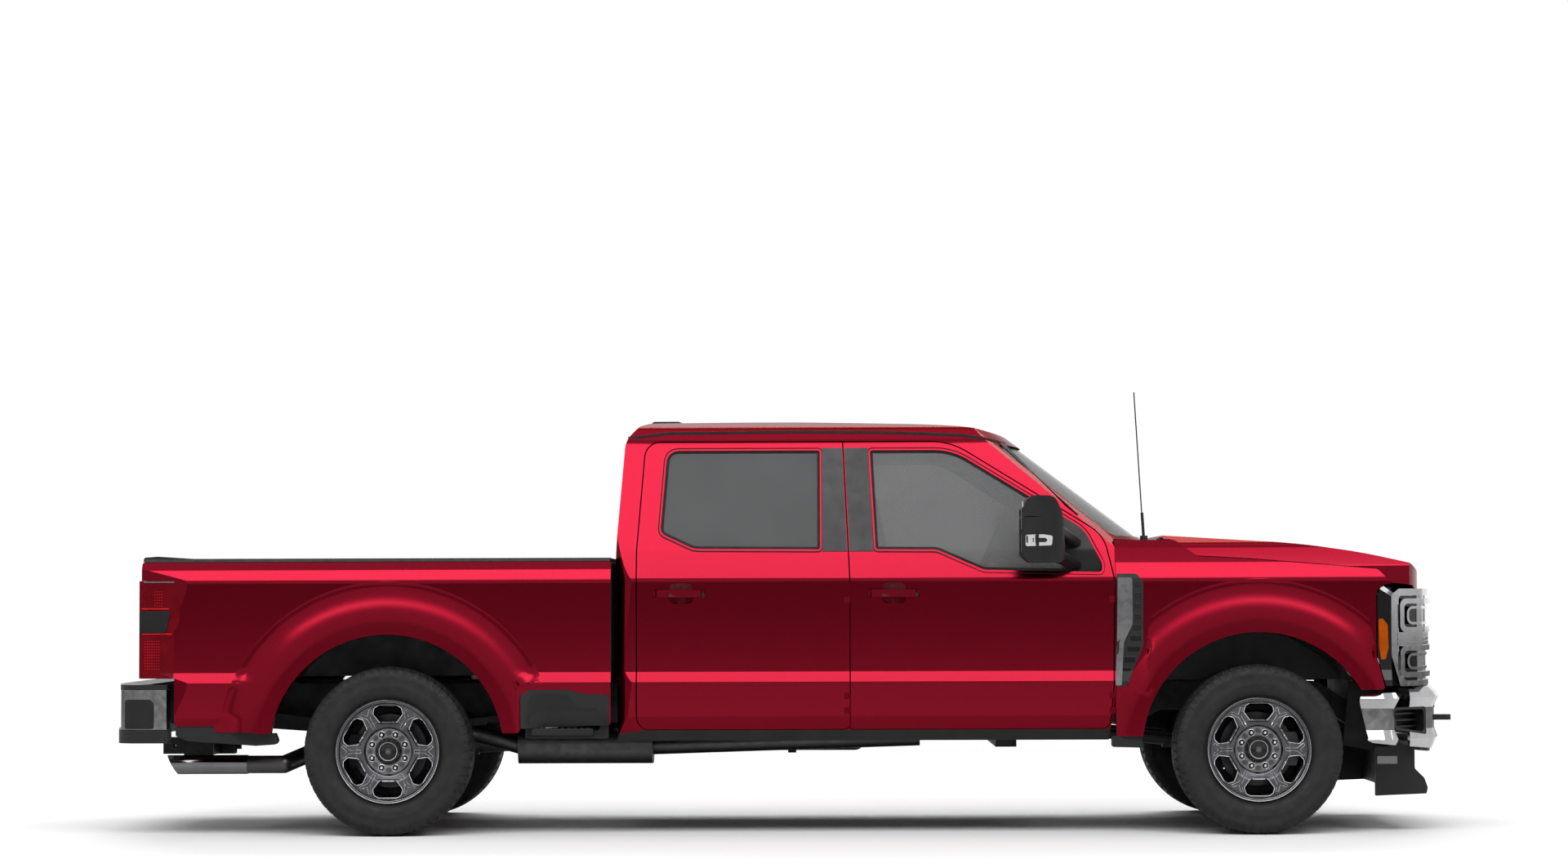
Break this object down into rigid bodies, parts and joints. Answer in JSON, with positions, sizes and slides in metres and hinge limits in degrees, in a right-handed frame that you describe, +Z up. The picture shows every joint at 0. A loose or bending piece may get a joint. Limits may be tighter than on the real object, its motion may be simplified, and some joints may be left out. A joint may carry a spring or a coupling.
{
  "type": "crew-cab pickup truck",
  "caption": "Heavy-duty crew-cab pickup truck with opening doors, hood and tailgate, steering and rolling wheels.",
  "frame": {"origin": "on the ground, midway between the rear bumper and the tow hooks, on the truck's middle plane", "axes": "+X forward, +Y to the truck's left, +Z up"},
  "size_m": [6.365, 2.6678, 2.0662],
  "materials": {
    "body_paint": "metallic gloss",
    "black_plastic": "grained",
    "chrome": "polished",
    "chassis": "satin black",
    "cast_metal": "raw",
    "glass": "tinted",
    "lamp_clear": "clear lens over black",
    "lamp_red": "red lens",
    "wheel_alloy": "polished and painted",
    "tyre": "moulded",
    "bright_steel": "polished",
    "steel": "dull",
    "seat_cloth": "woven",
    "interior": "soft touch"
  },
  "bodies": {
    "body": {"air_dam": "black_plastic", "antennas": "black_plastic", "bed_box": "body_paint", "bed_rail_caps": "black_plastic", "bed_steps": "black_plastic", "bumper_ducts": "black_plastic", "bumper_step_pad": "black_plastic", "cab_glass": "glass", "cab_shell": "body_paint", "cowl": "black_plastic", "dashboard": "interior", "drivetrain": "cast_metal", "engine_block": "cast_metal", "exhaust": "steel", "exhaust_tip": "bright_steel", "frame": "chassis", "front_axle": "chassis", "front_bumper": "chrome", "front_fenders": "body_paint", "front_liners": "black_plastic", "front_seats": "seat_cloth", "front_springs": "chassis", "fuel_tank": "black_plastic", "grille": "chrome", "headlamps": "lamp_clear", "radiator": "steel", "rear_axle": "chassis", "rear_bumper": "chrome", "rear_lamps": "lamp_red", "rear_seat": "seat_cloth", "rear_springs": "chassis", "receiver_hitch": "chassis", "side_trim": "black_plastic", "tow_hooks": "black_plastic"},
    "hood": {"hood": "body_paint"},
    "tailgate": {"tailgate": "body_paint"},
    "door_front_left": {"door_front_left": "body_paint", "glass_front_left": "glass", "mirror_left": "black_plastic"},
    "door_front_right": {"door_front_right": "body_paint", "glass_front_right": "glass", "mirror_right": "black_plastic"},
    "door_rear_left": {"door_rear_left": "body_paint", "glass_rear_left": "glass"},
    "door_rear_right": {"door_rear_right": "body_paint", "glass_rear_right": "glass"},
    "knuckle_left": {"knuckle_left": "cast_metal"},
    "knuckle_right": {"knuckle_right": "cast_metal"},
    "tie_rod": {"tie_rod": "steel"},
    "steering_wheel": {"steering_wheel": "interior"},
    "wheel_front_left": {"rim_front_left": "wheel_alloy", "tyre_front_left": "tyre"},
    "wheel_front_right": {"rim_front_right": "wheel_alloy", "tyre_front_right": "tyre"},
    "wheel_rear_left": {"rim_rear_left": "wheel_alloy", "tyre_rear_left": "tyre"},
    "wheel_rear_right": {"rim_rear_right": "wheel_alloy", "tyre_rear_right": "tyre"}
  },
  "joints": [
    {"name": "hood_hinge", "type": "hinge", "parent": "body", "child": "hood", "pos_m": [1.7785, 0, 1.384], "axis": [0, -1, 0], "range_deg": [0, 52]},
    {"name": "tailgate_hinge", "type": "hinge", "parent": "body", "child": "tailgate", "pos_m": [-2.9865, 0, 0.757], "axis": [0, -1, 0], "range_deg": [0, 90]},
    {"name": "door_front_left_hinge", "type": "hinge", "parent": "body", "child": "door_front_left", "pos_m": [1.53, 0.988, 0.9], "axis": [0, 0, -1], "range_deg": [0, 66]},
    {"name": "door_front_right_hinge", "type": "hinge", "parent": "body", "child": "door_front_right", "pos_m": [1.53, -0.988, 0.9], "axis": [0, 0, 1], "range_deg": [0, 66]},
    {"name": "door_rear_left_hinge", "type": "hinge", "parent": "body", "child": "door_rear_left", "pos_m": [0.2965, 0.988, 0.9], "axis": [0, 0, -1], "range_deg": [0, 68]},
    {"name": "door_rear_right_hinge", "type": "hinge", "parent": "body", "child": "door_rear_right", "pos_m": [0.2965, -0.988, 0.9], "axis": [0, 0, 1], "range_deg": [0, 68]},
    {"name": "steer_right", "type": "hinge", "parent": "body", "child": "knuckle_right", "pos_m": [2.1975, -0.7275, 0.394], "axis": [0, 0, 1], "range_deg": [-32, 32]},
    {"name": "steer_left", "type": "hinge", "parent": "body", "child": "knuckle_left", "pos_m": [2.1975, 0.7275, 0.394], "axis": [0, 0, 1], "range_deg": [-32, 32]},
    {"name": "tie_rod_ball", "type": "hinge", "parent": "knuckle_right", "child": "tie_rod", "pos_m": [1.9975, -0.7275, 0.3], "axis": [0, 0, 1], "range_deg": [-33, 33]},
    {"name": "steering_column", "type": "hinge", "parent": "body", "child": "steering_wheel", "pos_m": [1.0265, 0.425, 1.352], "axis": [-0.9135, 0, 0.4067], "range_deg": [-550, 550]},
    {"name": "roll_front_left", "type": "hinge", "parent": "knuckle_left", "child": "wheel_front_left", "pos_m": [2.1975, 0.8675, 0.394], "axis": [0, 1, 0], "continuous": true},
    {"name": "roll_front_right", "type": "hinge", "parent": "knuckle_right", "child": "wheel_front_right", "pos_m": [2.1975, -0.8675, 0.394], "axis": [0, 1, 0], "continuous": true},
    {"name": "roll_rear_left", "type": "hinge", "parent": "body", "child": "wheel_rear_left", "pos_m": [-1.8615, 0.8535, 0.394], "axis": [0, 1, 0], "continuous": true},
    {"name": "roll_rear_right", "type": "hinge", "parent": "body", "child": "wheel_rear_right", "pos_m": [-1.8615, -0.8535, 0.394], "axis": [0, 1, 0], "continuous": true}
  ],
  "couplings": [
    {"joint": "steer_left", "follows": "steer_right", "ratio": 1},
    {"joint": "tie_rod_ball", "follows": "steer_right", "ratio": -1},
    {"joint": "steering_column", "follows": "steer_right", "ratio": 17}
  ]
}
